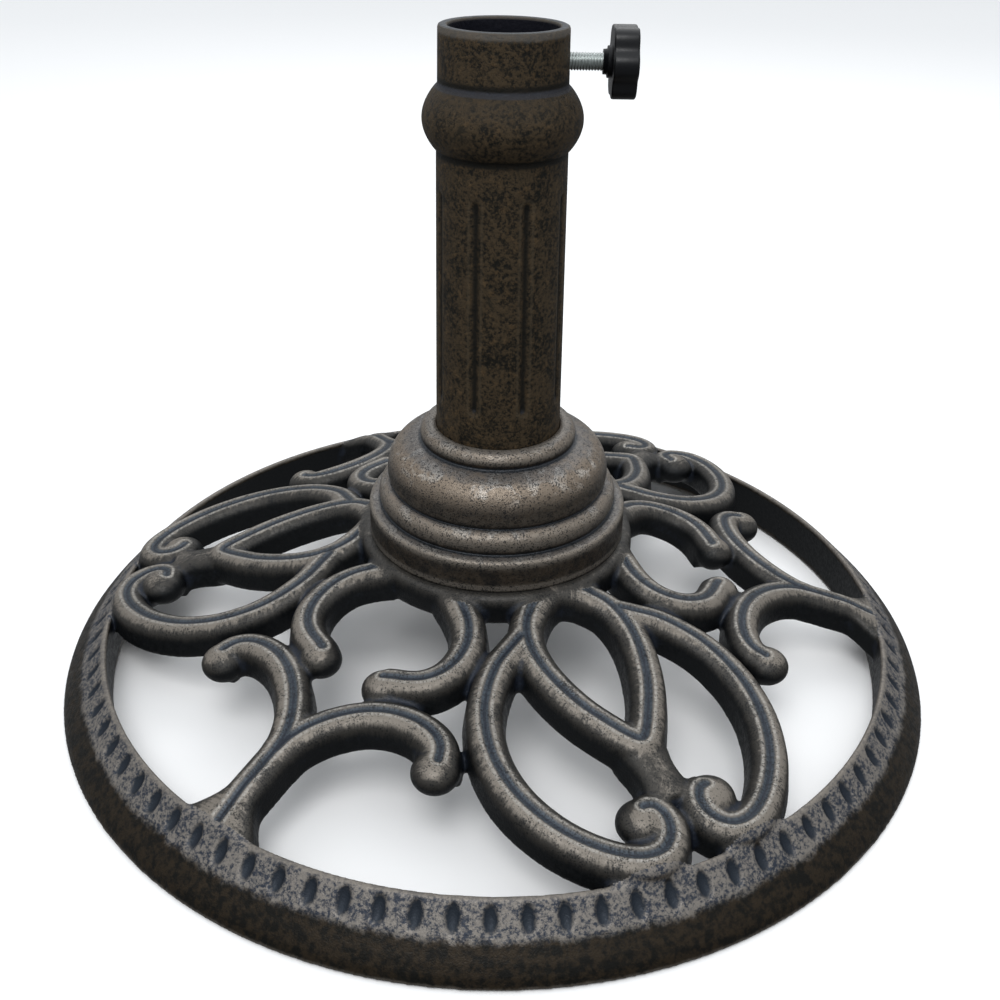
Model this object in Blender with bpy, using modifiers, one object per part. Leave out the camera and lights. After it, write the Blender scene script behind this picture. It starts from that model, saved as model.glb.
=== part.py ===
"""Parasol base: a domed cast-iron grille in a fluted rim, a bell cover, a column and a clamp screw."""
import math

import bmesh
import bpy
from mathutils import Matrix, Vector

MM = 0.001
NAME = "parasol_base"
GAP = 0.3 * MM                      # clearance left between pieces that touch
CUTTER_SIZE = 600.0 * MM            # cutting blocks reach well past the base on every side
CUT_TOP = 120.0 * MM                # above every bar of the scrollwork
CUT_MARGIN = 20.0 * MM

# Paint colours
IRON = (0.075, 0.068, 0.060)
TAN = (0.115, 0.090, 0.068)
BROWN = (0.048, 0.036, 0.024)
STEEL = (0.45, 0.45, 0.44)
ZINC = (0.60, 0.60, 0.58)
BLACK = (0.006, 0.006, 0.007)

# Rim
BASE_R = 228.5 * MM
RIM_INNER_R = 204.0 * MM
RIM_TOP = 27.0 * MM
RIM_CREASE_R = 218.0 * MM
RIM_CREASE_Z = 14.8 * MM
RIM_LIP_WIDTH = 1.2 * MM            # rounding of the rim's inner top edge
RIM_LIP_DROP = 1.5 * MM
RIM_FOOT_STEP = 2.0 * MM            # the outer wall leans in by this much above its foot
RIM_FOOT_HEIGHT = 5.5 * MM
DENTS = 90
DENT_LENGTH = 12.0 * MM
DENT_WIDTH = 5.5 * MM
DENT_DEPTH = 1.3 * MM

# Scrollwork: bars of one section laid on a dome
BAR_FOOT_WIDTH = 20.0 * MM
BAR_SHOULDER_WIDTH = 17.6 * MM
BAR_HEIGHT = 17.0 * MM
CROWN_WIDTH = 9.0 * MM
GROOVE_DEPTH = 1.5 * MM
DOME_EDGE_R = 206.0 * MM
DOME_EDGE_Z = 31.0 * MM
DOME_SLOPE = 0.27
DOME_BOW = 0.00022                  # per mm
SECTORS = 3
FIRST_AXIS = math.radians(-64.3)    # direction of the first tulip
TULIP_HALF_ANGLE = math.radians(30.6)

# Hub, bell cover and column
HUB_R = 71.0 * MM
HUB_TOP = 73.3 * MM
HUB_BOTTOM = 57.5 * MM
HUB_CHAMFER = 1.5 * MM
BELL_ROLLS = [(35.8, 58.0), (38.6, 55.0), (38.8, 52.0), (41.0, 50.2), (47.0, 48.6), (52.2, 44.4),
              (55.3, 38.0), (55.4, 31.5), (54.2, 28.1), (58.4, 26.5), (60.4, 21.5), (59.8, 17.0),
              (64.8, 16.0), (66.0, 14.2), (66.0, 0.0)]
BELL_TOP = 59.0                     # the bell's outline is in mm: (radius, height over the hub)
BELL_INSIDE_TOP = 45.0
BELL_WALL = [(61.0, 0.0), (61.0, 10.0), (53.5, 13.0), (48.5, 38.0)]
COLUMN_FOOT_R = 30.8 * MM
COLUMN_FOOT_TOP = 140.6 * MM        # the column is straight up to here, then tapers
COLUMN_TOP_R = 28.0 * MM
COLLAR_FOOT_R = 29.4 * MM
COLLAR_ROOT_R = 29.0 * MM
COLLAR_R = 35.5 * MM
COLLAR_Z = 279.5 * MM
COLLAR_HALF = 13.6 * MM
BORE_R = 23.8 * MM
BORE_CHAMFER = 0.7 * MM
LIP_ROUND = 1.0 * MM
HEIGHT = 317.0 * MM
FLOOR = 8.0 * MM
FLUTES = 8
FLUTE_R = 1.9 * MM
FLUTE_AT = 30.4 * MM                # distance of a flute's own axis from the column's
FLUTE_BOTTOM = 147.0 * MM
FLUTE_TOP = 250.5 * MM

# Clamp screw
CLAMP_Z = 302.8 * MM
STUD_R = 3.8 * MM
STUD_TIP = 23.9 * MM
KNOB_FACE = 56.5 * MM
KNOB_THICK = 10.7 * MM
KNOB_R = 15.6 * MM
KNOB_LOBES = 6
LOBE_DEPTH = 2.2 * MM
KNOB_ROUND = 1.3 * MM
BOSS_R = 6.0 * MM
BOSS_LENGTH = 3.5 * MM
STUD_COVER = 3.0 * MM               # plastic between the stud's end and the knob's face

# Fixings under the hub
BOLT_R = 6.0 * MM
HEAD_FLATS = 19.0 * MM
HEAD_HEIGHT = 7.5 * MM
WASHER_R = 14.0 * MM
WASHER_THICK = 2.5 * MM
SPRING_R = 10.5 * MM
SPRING_THICK = 2.4 * MM
NUT_HEIGHT = 9.0 * MM

# Centre lines of the bars, mm: (across the motif's axis, out from the middle of the base)
LENS_ROOT = (0, 66)
LENS = [(10, 70), (18, 79), (23, 89), (24.5, 101), (22.5, 114), (18, 128), (10.5, 141)]
LENS_TIP = 151.5
NECK = (0, 163)
NECK_SIZE = (12.5, 10.5)
LOOP = [(27, 84), (42, 93), (54, 107), (62, 122), (64.5, 138), (62, 156), (54.5, 173),
        (44, 187), (32, 195.5), (21, 198), (12.5, 193), (9.5, 185)]
LOOP_BULB = (14, 178.5)
BRANCH_TRUNK = [(0, 207), (0, 190), (0, 172)]
BRANCH_ARM = [(0, 172), (2.5, 163), (9, 149.5), (19, 138.5), (32, 131), (46, 127.5), (58, 129.5)]
BRANCH_BULB = (64.5, 136)
HUB_SCROLL = [(20, 66), (32, 74), (39.5, 84), (41.5, 95), (38.5, 105.5), (30.5, 112.5), (22, 116)]
HUB_BULB = (18.5, 116)
BULB_R = 10.8


def clear_scene():
    for old in list(bpy.data.objects):
        bpy.data.objects.remove(old)


def collection(name):
    group = bpy.data.collections.new(name)
    bpy.context.scene.collection.children.link(group)
    return group


def material(name, colour, roughness, metallic):
    made = bpy.data.materials.new(name)
    made.use_nodes = True
    shader = made.node_tree.nodes["Principled BSDF"]
    shader.inputs["Base Color"].default_value = (*colour, 1.0)
    shader.inputs["Roughness"].default_value = roughness
    shader.inputs["Metallic"].default_value = metallic
    made.diffuse_color = (*colour, 1.0)
    return made


def place(name, mesh, paint=None):
    """Put a mesh in the parts collection if it has a paint, else among the cutters."""
    obj = bpy.data.objects.new(name, mesh)
    if paint:
        PARTS.objects.link(obj)
        mesh.materials.clear()
        mesh.materials.append(paint)
    else:
        CUTTERS.objects.link(obj)
        obj.hide_render = True
        obj.display_type = "WIRE"
    return obj


def settled(obj):
    """The evaluated mesh of an object, welded, in world coordinates; the object is removed."""
    bpy.context.view_layer.update()
    shown = obj.evaluated_get(bpy.context.evaluated_depsgraph_get())
    mesh = bpy.data.meshes.new_from_object(shown)
    mesh.transform(obj.matrix_world)
    bm = bmesh.new()
    bm.from_mesh(mesh)
    bmesh.ops.remove_doubles(bm, verts=bm.verts, dist=0.00002)
    bmesh.ops.recalc_face_normals(bm, faces=bm.faces)
    bm.to_mesh(mesh)
    bm.free()
    bpy.data.objects.remove(obj)
    return mesh


def boolean(target, other, operation):
    mod = target.modifiers.new(operation.lower(), "BOOLEAN")
    mod.object = other
    mod.operation = operation
    mod.solver = "EXACT"


def turned(profile, steps=48):
    """A solid of revolution from a closed outline of (radius, height) points, in metres."""
    mesh = bpy.data.meshes.new("profile")
    count = len(profile)
    edges = [(i, (i + 1) % count) for i in range(count)]
    mesh.from_pydata([(r, 0.0, z) for r, z in profile], edges, [])
    obj = place("profile", mesh)
    screw = obj.modifiers.new("screw", "SCREW")
    screw.angle = math.tau
    screw.steps = steps
    screw.render_steps = steps
    screw.use_merge_vertices = True
    screw.merge_threshold = 0.00001
    return settled(obj)


def cylinder(radius, bottom, top, sides=24):
    bm = bmesh.new()
    at = Matrix.Translation((0.0, 0.0, (bottom + top) / 2))
    bmesh.ops.create_cone(bm, cap_ends=True, segments=sides, radius1=radius, radius2=radius,
                          depth=top - bottom, matrix=at)
    mesh = bpy.data.meshes.new("cylinder")
    bm.to_mesh(mesh)
    bm.free()
    return mesh


def dome_top(radius):
    """Height of the bars' crown over the floor at a distance from the axis."""
    run = (DOME_EDGE_R - radius) / MM
    return DOME_EDGE_Z + (DOME_SLOPE * run + DOME_BOW * run * run) * MM


def bar_section(grow):
    """The bar's cross-section: flat underneath, drafted sides, shoulders and a V groove."""
    top = BAR_HEIGHT / 2 + grow
    right = [(BAR_FOOT_WIDTH / 2 + grow, -top), (BAR_SHOULDER_WIDTH / 2 + grow, top * 0.35),
             (CROWN_WIDTH / 2 + grow, top)]
    left = [(-x, y) for x, y in reversed(right)]
    points = right + [(0.0, top - GROOVE_DEPTH)] + left
    data = bpy.data.curves.new("section", "CURVE")
    data.dimensions = "2D"
    spline = data.splines.new("POLY")
    spline.points.add(len(points) - 1)
    for point, (x, y) in zip(spline.points, points):
        point.co = (x, y, 0.0, 1.0)
    spline.use_cyclic_u = True
    return place("section", data)


def bar(route, closed=False, corners=(), grow=0.0, steps=2):
    """One bar of the scrollwork, swept along a route of (across, out) points on the dome."""
    data = bpy.data.curves.new("bar", "CURVE")
    data.dimensions = "3D"
    data.twist_mode = "Z_UP"
    data.resolution_u = steps
    data.use_fill_caps = not closed
    spline = data.splines.new("BEZIER")
    spline.bezier_points.add(len(route) - 1)
    for index, (across, out) in enumerate(route):
        x, y = across * MM, -out * MM
        point = spline.bezier_points[index]
        point.co = (x, y, dome_top(math.hypot(x, y)) - BAR_HEIGHT / 2)
        style = "VECTOR" if index in corners else "AUTO"
        point.handle_left_type = style
        point.handle_right_type = style
    spline.use_cyclic_u = closed
    section = bar_section(grow)
    data.bevel_mode = "OBJECT"
    data.bevel_object = section
    mesh = settled(place("bar", data))
    bpy.data.objects.remove(section)
    return mesh


def mirrored(route):
    return [(-x, y) for x, y in route]


def lump(place_at, size, grow=0.0):
    """A rounded swelling of the bars, from a scaled sphere; the place and size are in mm."""
    bm = bmesh.new()
    bmesh.ops.create_uvsphere(bm, u_segments=12, v_segments=7, radius=1.0)
    x, y = place_at[0] * MM, -place_at[1] * MM
    scale = (size[0] * MM + grow, size[1] * MM + grow, BAR_HEIGHT / 2 + grow)
    at = Matrix.Translation((x, y, dome_top(math.hypot(x, y)) - BAR_HEIGHT / 2))
    bmesh.ops.transform(bm, matrix=at @ Matrix.Diagonal((*scale, 1.0)), verts=bm.verts)
    mesh = bpy.data.meshes.new("lump")
    bm.to_mesh(mesh)
    bm.free()
    return mesh


def side_block(angle, keep, offset):
    """A block whose face is the upright plane at an angle from -Y; it lies on the far side."""
    bm = bmesh.new()
    bmesh.ops.create_cube(bm, size=CUTTER_SIZE)
    shift = Matrix.Translation((keep * (CUTTER_SIZE / 2 + offset), 0.0, 0.0))
    bmesh.ops.transform(bm, matrix=Matrix.Rotation(angle, 4, "Z") @ shift, verts=bm.verts)
    mesh = bpy.data.meshes.new("side")
    bm.to_mesh(mesh)
    bm.free()
    return mesh


def combined(pieces, cuts):
    """Union of the first list's meshes less the second list's."""
    target = place("target", pieces[0])
    helpers = []
    for mesh, operation in [(m, "UNION") for m in pieces[1:]] + [(m, "DIFFERENCE") for m in cuts]:
        helper = place("helper", mesh)
        boolean(target, helper, operation)
        helpers.append(helper)
    mesh = settled(target)
    for helper in helpers:
        bpy.data.objects.remove(helper)
    return mesh


def lens_meshes(grow=0.0):
    route = [LENS_ROOT] + LENS + [(0, LENS_TIP)] + mirrored(list(reversed(LENS)))
    outline = bar(route, closed=True, corners=(len(LENS) + 1,), grow=grow)
    return [outline, lump(NECK, NECK_SIZE, grow)]


def scroll_meshes(route, bulb, side, grow=0.0):
    """A bar that ends in a bulb, on the right of its axis (1) or mirrored to the left (-1)."""
    points = [(side * x, y) for x, y in route]
    return [bar(points, grow=grow), lump((side * bulb[0], bulb[1]), (BULB_R, BULB_R), grow)]


def branch_meshes(grow=0.0):
    """Trunk and two arms; each arm starts on the trunk's centre line."""
    trunk = bar(BRANCH_TRUNK, grow=grow, steps=1)
    arms = [scroll_meshes(BRANCH_ARM, BRANCH_BULB, side, grow) for side in (1, -1)]
    return [trunk] + arms[0] + arms[1]


def hub_cut():
    return cylinder(HUB_R + GAP, 0.0, CUT_TOP, 64)


def rim_cut():
    inner = RIM_INNER_R - GAP
    outer = BASE_R + CUT_MARGIN
    bottom = -CUT_MARGIN
    return turned([(inner, CUT_TOP), (outer, CUT_TOP), (outer, bottom), (inner, bottom)], 96)


def spread(name, mesh, axis, paint):
    """The same casting detail on each of the three axes."""
    for index in range(SECTORS):
        turn = Matrix.Rotation(axis + index * math.tau / SECTORS + math.pi / 2, 4, "Z")
        copy = mesh.copy()
        copy.transform(turn)
        place(f"{name}_{index + 1}", copy, paint)


def build_tulips():
    plane = TULIP_HALF_ANGLE
    lens = combined(lens_meshes(), [hub_cut()])
    spread("tulip_lens", lens, FIRST_AXIS, material("lens_iron", IRON, 0.5, 0.6))
    for side, label in ((1, "right"), (-1, "left")):
        cuts = lens_meshes(GAP)
        cuts.append(side_block(side * plane, side, -GAP / 2))
        cuts.append(side_block(0.0, -side, -GAP / 2))
        cuts.append(hub_cut())
        cuts.append(rim_cut())
        loop = combined(scroll_meshes(LOOP, LOOP_BULB, side), cuts)
        spread(f"tulip_loop_{label}", loop, FIRST_AXIS,
               material(f"loop_iron_{label}", IRON, 0.5, 0.6))


def build_branches():
    plane = math.pi / SECTORS - TULIP_HALF_ANGLE
    axis = FIRST_AXIS + math.pi / SECTORS
    sides = [side_block(plane, 1, -GAP / 2), side_block(-plane, -1, -GAP / 2)]
    branch = combined(branch_meshes(), sides + [rim_cut()])
    spread("branch", branch, axis, material("branch_iron", IRON, 0.5, 0.6))
    for side, label in ((1, "right"), (-1, "left")):
        cuts = branch_meshes(GAP)
        cuts.append(side_block(side * plane, side, -GAP / 2))
        cuts.append(side_block(0.0, -side, -GAP / 2))
        cuts.append(hub_cut())
        scroll = combined(scroll_meshes(HUB_SCROLL, HUB_BULB, side), cuts)
        spread(f"hub_scroll_{label}", scroll, axis,
               material(f"scroll_iron_{label}", IRON, 0.5, 0.6))


def dents():
    """The ring of almond dents on the rim's sloping face, as one mesh of squashed spheres."""
    face = Vector((RIM_CREASE_R - RIM_INNER_R, 0.0, RIM_CREASE_Z - RIM_TOP))
    tilt = math.atan2(-face.z, face.x)
    middle = Vector((RIM_INNER_R, 0.0, RIM_TOP)) + face * 0.5
    size = Matrix.Diagonal((DENT_LENGTH / 2, DENT_WIDTH / 2, DENT_DEPTH, 1.0))
    at = Matrix.Translation(middle) @ Matrix.Rotation(tilt, 4, "Y") @ size
    bm = bmesh.new()
    for index in range(DENTS):
        turn = Matrix.Rotation((index + 0.5) * math.tau / DENTS, 4, "Z")
        bmesh.ops.create_uvsphere(bm, u_segments=4, v_segments=2, radius=1.0,
                                  matrix=turn @ at)
    mesh = bpy.data.meshes.new("dents")
    bm.to_mesh(mesh)
    bm.free()
    return mesh


def build_rim():
    outline = [(RIM_INNER_R, RIM_TOP - RIM_LIP_DROP), (RIM_INNER_R + RIM_LIP_WIDTH, RIM_TOP),
               (RIM_CREASE_R, RIM_CREASE_Z), (BASE_R - RIM_FOOT_STEP, RIM_FOOT_HEIGHT),
               (BASE_R, 0.0), (RIM_INNER_R, 0.0)]
    mesh = combined([turned(outline, DENTS)], [dents()])
    place("base_rim", mesh, material("rim_iron", IRON, 0.55, 0.6))


def build_hub():
    hole = BOLT_R + GAP
    outline = [(hole, HUB_TOP), (HUB_R - HUB_CHAMFER, HUB_TOP), (HUB_R, HUB_TOP - HUB_CHAMFER),
               (HUB_R, HUB_BOTTOM), (hole, HUB_BOTTOM)]
    place("hub_disc", turned(outline, 64), material("hub_iron", IRON, 0.5, 0.6))


def build_bell():
    """Outer mouldings from the top down, then the hollow from the bottom up."""
    base = HUB_TOP + GAP
    hole = (COLUMN_FOOT_R + GAP) / MM
    outline = [(hole, BELL_TOP)] + BELL_ROLLS + BELL_WALL + [(hole, BELL_INSIDE_TOP)]
    mesh = turned([(r * MM, base + z * MM) for r, z in outline], 40)
    place("bell_cover", mesh, material("bell_iron", TAN, 0.5, 0.6))


def collar_outline():
    """The swelling of the column below its neck, from the top down."""
    swell = COLLAR_R - COLLAR_ROOT_R
    points = [(COLUMN_TOP_R + 0.5 * MM, COLLAR_Z + COLLAR_HALF)]
    for step in range(1, 6):
        turn = math.pi * step / 6
        points.append((COLLAR_ROOT_R + swell * math.sin(turn) ** 0.8,
                       COLLAR_Z + COLLAR_HALF * math.cos(turn)))
    points.append((COLLAR_FOOT_R, COLLAR_Z - COLLAR_HALF))
    return points


def flute_cutters():
    """Upright rods round the column, as one mesh."""
    rods = bmesh.new()
    middle = (FLUTE_BOTTOM + FLUTE_TOP) / 2
    for index in range(FLUTES):
        turn = (index + 0.5) * math.tau / FLUTES
        at = Matrix.Translation((FLUTE_AT * math.cos(turn), FLUTE_AT * math.sin(turn), middle))
        bmesh.ops.create_cone(rods, cap_ends=True, segments=8, radius1=FLUTE_R, radius2=FLUTE_R,
                              depth=FLUTE_TOP - FLUTE_BOTTOM, matrix=at)
    mesh = bpy.data.meshes.new("flutes")
    rods.to_mesh(mesh)
    rods.free()
    return mesh


def build_column():
    """Tube with a floor, a swelling collar and a plain neck; flutes and the stud hole are cut."""
    base = HUB_TOP + GAP
    hole = BOLT_R + GAP
    lip = [(BORE_R, HEIGHT - BORE_CHAMFER), (BORE_R + BORE_CHAMFER, HEIGHT),
           (COLUMN_TOP_R - LIP_ROUND, HEIGHT), (COLUMN_TOP_R, HEIGHT - LIP_ROUND)]
    foot = [(COLUMN_FOOT_R, COLUMN_FOOT_TOP), (COLUMN_FOOT_R, base), (hole, base),
            (hole, base + FLOOR), (BORE_R, base + FLOOR)]
    tube = turned(lip + collar_outline() + foot, 40)
    drill = along_x(cylinder(STUD_R + GAP, 0.0, 2 * COLLAR_R, 16), 0.0)
    mesh = combined([tube], [flute_cutters(), drill])
    place("column", mesh, material("column_iron", BROWN, 0.55, 0.6))


def along_x(mesh, x):
    """Lay a mesh modelled up the Z axis along +X, at a distance from the column's axis."""
    mesh.transform(Matrix.Translation((x, 0.0, CLAMP_Z)) @ Matrix.Rotation(math.pi / 2, 4, "Y"))
    return mesh


def knob_mesh():
    """A lobed disc: a flat outline from a formula, extruded, with its rims rounded."""
    data = bpy.data.curves.new("knob", "CURVE")
    data.dimensions = "2D"
    data.fill_mode = "BOTH"
    data.extrude = KNOB_THICK / 2
    spline = data.splines.new("POLY")
    count = KNOB_LOBES * 8
    spline.points.add(count - 1)
    for index, point in enumerate(spline.points):
        turn = math.tau * index / count
        radius = KNOB_R - LOBE_DEPTH * (1 - math.cos(KNOB_LOBES * turn)) / 2
        point.co = (radius * math.cos(turn), radius * math.sin(turn), 0.0, 1.0)
    spline.use_cyclic_u = True
    disc = place("knob", settled(place("knob", data)))
    rounding = disc.modifiers.new("rims", "BEVEL")
    rounding.width = KNOB_ROUND
    rounding.segments = 2
    rounding.limit_method = "ANGLE"
    rounding.angle_limit = math.radians(50)
    return settled(disc)


def build_clamp():
    """Stud that slides along +X, and a knob that turns with it and has a boss on its inner face."""
    boss_start = KNOB_FACE - KNOB_THICK - BOSS_LENGTH
    stud_end = KNOB_FACE - STUD_COVER
    stud = along_x(cylinder(STUD_R, 0.0, stud_end - STUD_TIP, 16), STUD_TIP)
    place("clamp_stud", stud, material("zinc", ZINC, 0.3, 1.0))
    disc = along_x(knob_mesh(), KNOB_FACE - KNOB_THICK / 2)
    boss = along_x(cylinder(BOSS_R, 0.0, BOSS_LENGTH + 1.0 * MM, 20), boss_start)
    cut_start = boss_start - 10.0 * MM
    bore = along_x(cylinder(STUD_R + GAP, 0.0, stud_end + GAP - cut_start, 16), cut_start)
    mesh = combined([disc, boss], [bore])
    place("clamp_knob", mesh, material("black_plastic", BLACK, 0.35, 0.0))


def hexagon(bottom, height, hole=0.0):
    mesh = cylinder(HEAD_FLATS / math.sqrt(3), bottom, bottom + height, 6)
    if not hole:
        return mesh
    return combined([mesh], [cylinder(hole, bottom - height, bottom + 2 * height, 20)])


def build_fixings():
    """Bolt from below through the hub and the column's floor, with its washers and nut."""
    hole = BOLT_R + GAP
    washer_top = HUB_BOTTOM - GAP
    spring_top = washer_top - WASHER_THICK - GAP
    head_top = spring_top - SPRING_THICK - GAP
    nut_bottom = HUB_TOP + GAP + FLOOR + GAP
    head = hexagon(head_top - HEAD_HEIGHT, HEAD_HEIGHT)
    shank = cylinder(BOLT_R, head_top - 1.0 * MM, nut_bottom + NUT_HEIGHT + 2.5 * MM, 20)
    place("centre_bolt", combined([head, shank], []), material("bolt_zinc", STEEL, 0.35, 1.0))
    rings = (("flat_washer", WASHER_R, washer_top, WASHER_THICK),
             ("spring_washer", SPRING_R, spring_top, SPRING_THICK))
    for name, radius, top, thick in rings:
        outline = [(hole, top), (radius, top), (radius, top - thick), (hole, top - thick)]
        place(name, turned(outline, 24), material(f"{name}_zinc", STEEL, 0.35, 1.0))
    place("captive_nut", hexagon(nut_bottom, NUT_HEIGHT, hole),
          material("nut_zinc", STEEL, 0.35, 1.0))


clear_scene()
PARTS = collection(NAME)
CUTTERS = collection("cutters")
build_rim()
build_tulips()
build_branches()
build_hub()
build_bell()
build_column()
build_clamp()
build_fixings()
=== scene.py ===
"""Parasol base in antique bronze: one sculpted casting, bell cover, fluted column and clamp screw."""
import math

import bmesh
import bpy
import numpy as np
from mathutils import Matrix, Vector
from mathutils.kdtree import KDTree


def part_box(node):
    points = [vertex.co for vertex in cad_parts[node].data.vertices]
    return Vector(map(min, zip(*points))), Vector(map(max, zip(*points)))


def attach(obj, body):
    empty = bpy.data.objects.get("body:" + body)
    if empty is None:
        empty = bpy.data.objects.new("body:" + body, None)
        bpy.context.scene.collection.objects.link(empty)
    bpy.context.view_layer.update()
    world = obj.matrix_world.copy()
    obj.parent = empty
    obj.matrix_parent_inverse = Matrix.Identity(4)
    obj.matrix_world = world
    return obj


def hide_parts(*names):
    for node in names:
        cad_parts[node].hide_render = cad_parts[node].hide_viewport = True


MM = 0.001
CM = 0.01
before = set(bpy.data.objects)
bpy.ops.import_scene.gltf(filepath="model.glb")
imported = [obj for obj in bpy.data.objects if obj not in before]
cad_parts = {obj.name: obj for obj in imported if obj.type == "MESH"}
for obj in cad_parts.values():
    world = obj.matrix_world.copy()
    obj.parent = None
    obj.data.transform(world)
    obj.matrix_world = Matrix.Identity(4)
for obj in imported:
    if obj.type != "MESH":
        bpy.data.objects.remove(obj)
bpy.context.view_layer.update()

# Sizes read from the frame
RIM_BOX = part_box("base_rim")
HUB_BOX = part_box("hub_disc")
BELL_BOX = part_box("bell_cover")
COLUMN_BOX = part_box("column")
STUD_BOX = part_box("clamp_stud")
KNOB_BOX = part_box("clamp_knob")
BASE_R = RIM_BOX[1][0]
RIM_TOP = RIM_BOX[1][2]
HUB_R = HUB_BOX[1][0]
HUB_TOP = HUB_BOX[1][2]
HUB_BOTTOM = HUB_BOX[0][2]
HUB_EDGE_R = HUB_R + 0.4 * MM       # where the casting's skin is parted round the hub
CLAMP_Z = (STUD_BOX[0][2] + STUD_BOX[1][2]) / 2

# Rim and dome, as on the CAD model
RIM_INNER_R = 204.0 * MM
CREASE_R = 218.0 * MM
CREASE_Z = 14.8 * MM
DENTS = 90
DENT_LENGTH = 12.0 * MM
DENT_WIDTH = 6.8 * MM
DENT_DEPTH = 1.8 * MM
DOME_EDGE_R = 206.0 * MM
DOME_EDGE_Z = 31.0 * MM
DOME_SLOPE = 0.27
DOME_BOW = 0.22                     # per metre

# Section of the bars
BAR_HEIGHT = 17.0 * MM
FOOT_HALF = 10.0 * MM
SHOULDER_HALF = 8.8 * MM
SHOULDER_RISE = 7.6 * MM            # how far the round crown stands over the shoulders
GROOVE_HALF = 2.7 * MM
GROOVE_DEPTH = 1.6 * MM
VOXEL = 1.0 * MM

# Studio
SKY_LOW = 0.28                      # strength of the sky at the horizon and overhead
SKY_HIGH = 1.45
SKY_COLOUR = (0.94, 0.97, 1.0, 1.0)
FLOOR_FLAT_R = 2.6                  # metres: the flat floor, the curve up from it, and the wall
FLOOR_CURVE_R = 1.4
WALL_R = 4.1
WALL_TOP = 3.0

# Clamp screw
THREAD_PITCH = 1.25 * MM
THREAD_DEPTH = 0.6 * MM
STUD_HOLE_R = 4.1 * MM
KNOB_THICK = 10.7 * MM
KNOB_LOBES = 6
KNOB_ROUND = 1.0 * MM
LOBE_DEPTH = 2.2 * MM

# Paints; some of them also stand for painted light and painted shade
INK = (0.0062, 0.0072, 0.0082)
NAVY = (0.011, 0.015, 0.024)
SLATE = (0.048, 0.060, 0.074)
TAN = (0.165, 0.146, 0.124)
PALE = (0.31, 0.295, 0.27)
UMBER = (0.038, 0.035, 0.031)

SECTORS = 3
FIRST_AXIS = math.radians(-64.3)    # direction of the first tulip
TULIP_HALF_ANGLE = math.radians(30.6)
BRANCH_HALF_ANGLE = math.pi / SECTORS - TULIP_HALF_ANGLE

# Centre lines of the bars, mm: (across the motif's axis, out from the middle of the base)
LENS = [(0, 64), (11, 68.5), (21, 78), (25, 89), (25, 101), (22, 114), (16.5, 127.5), (8.5, 140.5),
        (3.2, 147.6)]
LENS_TIP = (0, 149.8)
LOOP = [(27, 84), (33, 87.2), (43, 93), (52, 102), (58.5, 112), (62.3, 123), (64, 135), (63, 148),
        (59.5, 160), (53.5, 172), (45.5, 182.5), (35.5, 191.5), (25.5, 196.5), (16.5, 196.5),
        (10.2, 191), (8.8, 184), (11.5, 178.8), (15.5, 177.5)]
TRUNK = [(0, 214), (0, 195), (0, 180), (0, 166), (0.6, 160)]
ARM = [(0.3, 168), (1.5, 160.5), (5.5, 152), (12, 143.5), (21, 135.5), (32, 129.5), (44, 126.6),
       (54.5, 127), (61.5, 130.5), (65, 136.5)]
HUB_SCROLL = [(16, 62), (25, 66.5), (34.5, 73), (40.5, 81.5), (42.4, 91), (40.8, 100), (36, 107.5),
              (29.5, 112), (22.5, 114.8), (18.5, 116.5)]
NECK = [(0, 146), (0, 178)]
TRUNK_FLARE = 1.5                   # how much wider a trunk gets where it joins the rim
TRUNK_SINK = 3.0 * MM               # how far its crown sinks before the rim, and falls over it
TRUNK_FALL = 9.0 * MM
NECK_DROP = 1.2 * MM                # how far the neck lies below the bars
ARM_BULB = (64, 137.5)
LOOP_BULB = (16.5, 179.5)
LOOP_BULB_SIZE = (12.0, 11.5)
LOOP_WEB = (18.5, 187.5)
LOOP_WEB_SIZE = (8.5, 8.0)
WEB_SHARE = 0.66                    # height of the sunk web inside a curl, as a share of a bar's
SCROLL_BULB = (19, 117.5)
BULB_R = 11.0

# Column
COLLAR_Z = 279.5 * MM
COLLAR_HALF = 13.6 * MM
COLLAR_R = 35.5 * MM
COLLAR_ROOT_R = 29.0 * MM
BORE_R = 23.8 * MM
BOLT_HOLE_R = 6.3 * MM
COLUMN_FLOOR = 8.0 * MM
FLUTES = 8
FLUTE_BOTTOM = 147.0 * MM
FLUTE_TOP = 251.0 * MM
FLUTE_HALF = 2.2 * MM
FLUTE_DEPTH = 1.3 * MM


def link(name, mesh):
    obj = bpy.data.objects.new(name, mesh)
    bpy.context.scene.collection.objects.link(obj)
    return obj


def discard(*objs):
    for obj in objs:
        bpy.data.objects.remove(obj)


def evaluated(obj):
    """A new mesh of the object with its modifiers applied; the object is removed."""
    bpy.context.view_layer.update()
    shown = obj.evaluated_get(bpy.context.evaluated_depsgraph_get())
    mesh = bpy.data.meshes.new_from_object(shown)
    discard(obj)
    return mesh


def smooth(mesh):
    mesh.shade_smooth()
    return mesh


def vertices(mesh):
    flat = np.empty(len(mesh.vertices) * 3)
    mesh.vertices.foreach_get("co", flat)
    return flat.reshape(-1, 3)


def set_vertices(mesh, points):
    mesh.vertices.foreach_set("co", points.ravel())
    mesh.update()


def vertex_normals(mesh):
    flat = np.empty(len(mesh.vertices) * 3)
    mesh.vertices.foreach_get("normal", flat)
    return flat.reshape(-1, 3)


def edge_pairs(mesh):
    flat = np.empty(len(mesh.edges) * 2, dtype=np.int64)
    mesh.edges.foreach_get("vertices", flat)
    return flat.reshape(-1, 2)


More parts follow.
